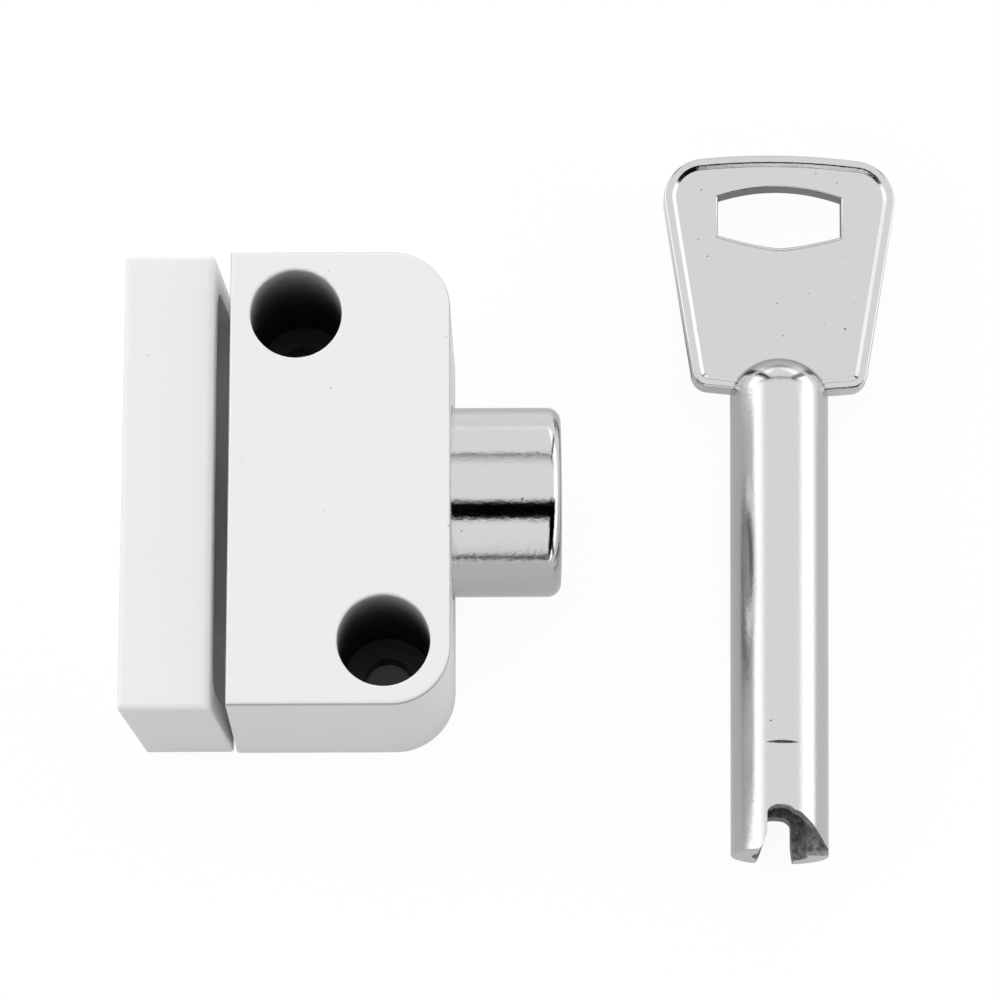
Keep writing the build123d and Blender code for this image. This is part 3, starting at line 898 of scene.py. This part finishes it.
def loop_rings(sizes):
    """Rings of the tool that cuts the bow's loop: straight sides, an arched top and a dipped bottom.

    From the middle of the thickness to each face the outline grows about its centre, by a draft and a
    quarter ellipse. As it grows it comes down from a small lift towards the top.
    """
    half = sizes.thickness / MM / 2
    across = np.linspace(-1, 1, 41)
    dip = LOOP_FOOT_DIP * (1 - np.abs(across) ** LOOP_FOOT_POWER)
    upper = np.stack([-LOOP_HALF_WIDTH * across, LOOP_TOP + LOOP_TOP_ARCH * (1 - across**2)], -1)
    lower = np.stack([LOOP_HALF_WIDTH * across, LOOP_FOOT - dip], -1)
    outline = np.concatenate([upper, lower])
    middle = np.array([0, (LOOP_TOP + LOOP_FOOT) / 2])
    size = np.array([LOOP_HALF_WIDTH, (LOOP_TOP - LOOP_FOOT) / 2 + LOOP_TOP_ARCH])
    turn = np.linspace(0, pi / 2, 9)
    rise = half - FACE_SINK - LOOP_EASE[1] * (1 - np.sin(turn))
    flare = LOOP_DRAFT * rise / half + LOOP_EASE[0] * (1 - np.cos(turn))
    grow = np.concatenate([flare[-1:], flare[::-1], [0], flare, flare[-1:]])
    height = np.concatenate([[-half - CUTTER_OVERRUN], -rise[::-1], [0], rise, [half + CUTTER_OVERRUN]])
    points = middle + (outline - middle) * (1 + grow[:, None, None] / size)
    points[..., 1] += LOOP_LIFT * (1 - grow[:, None] / grow.max())
    return np.concatenate([points, np.broadcast_to(height[:, None, None], (*points.shape[:2], 1))], -1)


class LOCK_OT_key(bpy.types.Operator):
    """Builds the plated key: bow, domed shaft and slotted, obliquely cut tip"""

    bl_idname = "push_lock.key"
    bl_label = "Key"

    def execute(self, context):
        sizes, finish = context.scene.lock_key, context.scene.lock_finish
        plate, zinc = nickel_plate(finish), raw_zinc(finish)
        tip, radius = sizes.tip_radius / MM, sizes.shaft_radius / MM
        foot = (sizes.total - sizes.bow_height) / MM
        dome_length = sizes.dome / MM
        dome_radius = (radius**2 + dome_length**2) / (2 * dome_length)
        turn = np.linspace(DOME_SHOULDER, pi / 2 - DOME_POLE, 24)
        dome = np.stack(
            [foot + dome_length - dome_radius * (1 - np.sin(turn)), dome_radius * np.cos(turn)], -1
        )
        reach = (radius - dome[0, 1]) / sin(DOME_SHOULDER)
        corner = dome[0] + (-reach * cos(DOME_SHOULDER), radius - dome[0, 1])
        shoulder = softened([(1.0, tip), corner, corner + 3 * (dome[0] - corner)], reach, 12)[1:-1]
        tip_line = softened([(0, 1.0), (0, tip), (1.0, tip)], TIP_EASE)
        shaft_line = np.concatenate([tip_line, shoulder, dome[1:]])
        key = solid("flat_key", turned(shaft_line, (0, 0, 0), Y_AXIS, 160), material=plate)
        loop = solid("loop", loop_rings(sizes), material=plate)
        bow = carve(solid("bow", bow_rings(sizes), material=plate), [loop])
        carve(key, [bow], "UNION")
        bore = turned([(-CUTTER_OVERRUN, BORE_RADIUS), (BORE_DEPTH, BORE_RADIUS)], (0, 0, 0), Y_AXIS, 64)
        slot_line = softened(SLOT_OUTLINE, CUT_EASE, 6, closed=True)
        cut_line = softened(CUT_OUTLINE, CUT_EASE, 6, closed=True)
        spread, above = SCRIBE_SLOPE * (SCRIBE_DEPTH + CUTTER_OVERRUN), tip + CUTTER_OVERRUN
        groove = np.array([(-spread, above), (0, tip - SCRIBE_DEPTH), (spread, above)]) + (SCRIBE_PLACE, 0)
        across = np.array([-SCRIBE_HALF_WIDTH, SCRIBE_HALF_WIDTH])[:, None, None]
        scribe = np.concatenate([np.broadcast_to(across, (2, 3, 1)), np.broadcast_to(groove, (2, 3, 2))], -1)
        tools = [
            solid("key_bore", bore, material=zinc),
            solid("key_slot", prism(slot_line, -CUT_REACH, CUT_REACH), material=zinc),
            solid("key_cut", prism(cut_line, CUT_FLOOR, CUT_REACH), material=zinc),
            solid("scribe", scribe, material=zinc),
        ]
        carve(key, tools)
        lean = Matrix.Rotation(-sizes.lean, 4, "Z")
        tip_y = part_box("key")[0].y + sin(sizes.lean) * sizes.tip_radius
        place = Matrix.Translation((sizes.tip_x, tip_y, sizes.shaft_radius + SHAFT_LIFT * MM))
        key.data.transform(place @ lean)
        finish_piece(key, "lock", "nickel_plate", "key")
        return {"FINISHED"}


class LOCK_OT_stage(bpy.types.Operator):
    """Builds the pale floor, the light tent and the camera"""

    bl_idname = "push_lock.stage"
    bl_label = "Stage"

    def execute(self, context):
        scene = context.scene
        scene.view_settings.view_transform = "Standard"
        scene.world = light_tent()
        reach = FLOOR_REACH * MM
        mesh = bpy.data.meshes.new("floor")
        corners = [(x, y, -FLOOR_DROP * MM) for x, y in rectangle(-reach, -reach, reach, reach)]
        mesh.from_pydata(corners, [], [(0, 1, 2, 3)])
        mesh.materials.append(pale_floor(scene.lock_finish))
        floor = bpy.data.objects.new("floor", mesh)
        scene.collection.objects.link(floor)
        lens = bpy.data.cameras.new("camera")
        lens.lens = FOCAL_PIXELS / PHOTO_WIDTH * lens.sensor_width
        lens.shift_x = SIDE_SHIFT / PHOTO_WIDTH
        lens.clip_start = NEAREST_SEEN * MM
        camera = bpy.data.objects.new("camera", lens)
        scene.collection.objects.link(camera)
        back = Vector((0, -cos(VIEW_ELEVATION), sin(VIEW_ELEVATION)))
        spot = Vector(VIEW_TARGET) * MM + back * VIEW_DISTANCE * MM
        tilt = Matrix.Rotation(pi / 2 - VIEW_ELEVATION, 4, "X") @ Matrix.Rotation(VIEW_ROLL, 4, "Z")
        camera.matrix_world = Matrix.Translation(spot) @ tilt
        scene.camera = camera
        return {"FINISHED"}


def light_tent():
    """A light tent: pale overhead, brighter panels at both sides, dark posts, and the gap for the lens.

    Ramps over the angles from straight up, across X and along Y, and over the heading are multiplied. The
    gap only reaches across the overhead panel, the arm that holds the lens stands to one side of it, and the
    posts only stand up to the overhead panel. The camera sees plain white.
    """
    world = bpy.data.worlds.new("light_tent")
    world.use_nodes = True
    tree = world.node_tree
    tree.nodes.clear()
    output = add_node(tree, "OutputWorld")
    direction = add_node(tree, "TexCoord").outputs["Generated"]
    split = add_node(tree, "SeparateXYZ", links={"Vector": direction})
    shades = {}
    for name, top, bottom, limit, stops in (
        ("panels", "X", "Z", 90, SIDE_PANELS),
        ("overhead", "X", "Z", 90, OVERHEAD),
        ("gap", "Y", "Z", 90, LENS_GAP),
        ("arm", "X", "Z", 90, ARM_WIDTH),
        ("reach", "Y", "Z", 90, ARM_REACH),
        ("posts", "Y", "X", 180, HEADINGS),
    ):
        turn = combine(tree, "ARCTAN2", split.outputs[top], split.outputs[bottom])
        share = remap(tree, turn, (-radians(limit), radians(limit)))
        shades[name] = ramp(tree, share, [((degrees / limit + 1) / 2, shade) for degrees, shade in stops])
    low = remap(tree, split.outputs["Z"], POST_TOP)
    tent = shades["panels"]
    masks = (
        (shades["overhead"], shades["gap"]),
        (shades["arm"], shades["reach"]),
        (low, shades["posts"]),
    )
    for mask, shade in masks:
        links = {"Factor": mask, "A": tent, "B": shade}
        tent = add_node(tree, "Mix", links=links, data_type="RGBA", blend_type="MULTIPLY").outputs["Result"]
    lit = add_node(tree, "Background", {"Strength": TENT_STRENGTH}, {"Color": tent})
    white = add_node(tree, "Background", {"Color": (1, 1, 1, 1), "Strength": 1.0})
    seen = add_node(tree, "LightPath").outputs["Is Camera Ray"]
    shown = add_node(
        tree, "MixShader", links={0: seen, 1: lit.outputs["Background"], 2: white.outputs["Background"]}
    )
    connect(tree, output, {"Surface": shown.outputs["Shader"]})
    return world


def outside(tree, spot, patch):
    """A mask that is 0 on a patch of the floor, given by two corners in millimetres, and 1 elsewhere."""
    middle, half = (patch[0] + patch[1]) / 2, (patch[1] - patch[0]) / 2
    across = near(tree, spot.outputs["X"], middle[0], half[0])
    along = near(tree, spot.outputs["Y"], middle[1], half[1])
    within = combine(tree, "MULTIPLY", across, along)
    return add_node(tree, "Math", {0: 1.0}, {1: within}, operation="SUBTRACT").outputs["Value"]


def pale_floor(finish):
    """A pale paper floor with the object's soft shadow: nearly white to the camera, less so in the metal.

    In the metal it glows with painted light: brighter towards its back and on the key's free side, and
    without glow under the bow, where it shows the paper's own shade. The patch under the lock only shows
    through its holes and has no white of its own.
    """
    material = bpy.data.materials.new("pale_paper")
    material.use_nodes = True
    tree = material.node_tree
    tree.nodes.clear()
    output = add_node(tree, "OutputMaterial")
    paper = add_node(tree, "BsdfDiffuse", {"Color": rgba(finish.floor)})
    glow = add_node(tree, "Emission", {"Color": (1, 1, 1, 1), "Strength": FLOOR_GLOW})
    path = add_node(tree, "LightPath")
    spot = add_node(tree, "SeparateXYZ", links={"Vector": add_node(tree, "TexCoord").outputs["Object"]})
    # Painted light: the floor's glow in the metal grows towards the back and beside the key
    back_glow = remap(tree, spot.outputs["Y"], np.array(BACK_GLOW_SPAN) * MM, FLOOR_MIRRORED)
    side_glow = remap(tree, spot.outputs["X"], np.array(SIDE_GLOW_SPAN) * MM, (1.0, SIDE_GLOW_GAIN))
    mirrored = combine(tree, "MAXIMUM", path.outputs["Is Glossy Ray"], path.outputs["Is Transmission Ray"])
    for share in (back_glow, side_glow, outside(tree, spot, UNDER_BOW)):
        mirrored = combine(tree, "MULTIPLY", mirrored, share)
    plain = add_node(tree, "Math", {1: FLOOR_SEEN}, {0: path.outputs["Is Camera Ray"]}, operation="MULTIPLY")
    seen = combine(tree, "MAXIMUM", mirrored, plain.outputs["Value"])
    white = combine(tree, "MULTIPLY", seen, outside(tree, spot, UNDER_LOCK))
    mixed = add_node(
        tree, "MixShader", links={0: white, 1: paper.outputs["BSDF"], 2: glow.outputs["Emission"]}
    )
    connect(tree, output, {"Surface": mixed.outputs["Shader"]})
    return material


OPERATORS = (
    LOCK_OT_case, LOCK_OT_keeper, LOCK_OT_button, LOCK_OT_bolt, LOCK_OT_springs, LOCK_OT_works, LOCK_OT_key,
    LOCK_OT_stage,
)


class LOCK_PT_panel(bpy.types.Panel):
    """Lists the lock's pieces and sizes"""

    bl_idname = "LOCK_PT_panel"
    bl_label = "Window Push Lock"
    bl_space_type = "VIEW_3D"
    bl_region_type = "UI"
    bl_category = "Push Lock"

    def draw(self, context):
        for operator in OPERATORS:
            self.layout.operator(operator.bl_idname)
        for group in GROUPS:
            for setting in getattr(context.scene, group).__annotations__:
                self.layout.prop(getattr(context.scene, group), setting)


GROUPS = {
    "lock_casting": LOCK_PG_casting,
    "lock_button": LOCK_PG_button,
    "lock_key": LOCK_PG_key,
    "lock_finish": LOCK_PG_finish,
}


def register():
    for group_class in (*GROUPS.values(), *OPERATORS, LOCK_PT_panel):
        bpy.utils.register_class(group_class)
    for name, group_class in GROUPS.items():
        setattr(bpy.types.Scene, name, bpy.props.PointerProperty(type=group_class))


def unregister():
    for name in GROUPS:
        delattr(bpy.types.Scene, name)
    for group_class in (LOCK_PT_panel, *OPERATORS, *GROUPS.values()):
        bpy.utils.unregister_class(group_class)


def main():
    register()
    bpy.ops.push_lock.case()
    bpy.ops.push_lock.keeper()
    bpy.ops.push_lock.button()
    bpy.ops.push_lock.bolt()
    bpy.ops.push_lock.springs()
    bpy.ops.push_lock.works()
    bpy.ops.push_lock.key()
    bpy.ops.push_lock.stage()


if __name__ == "__main__":
    main()
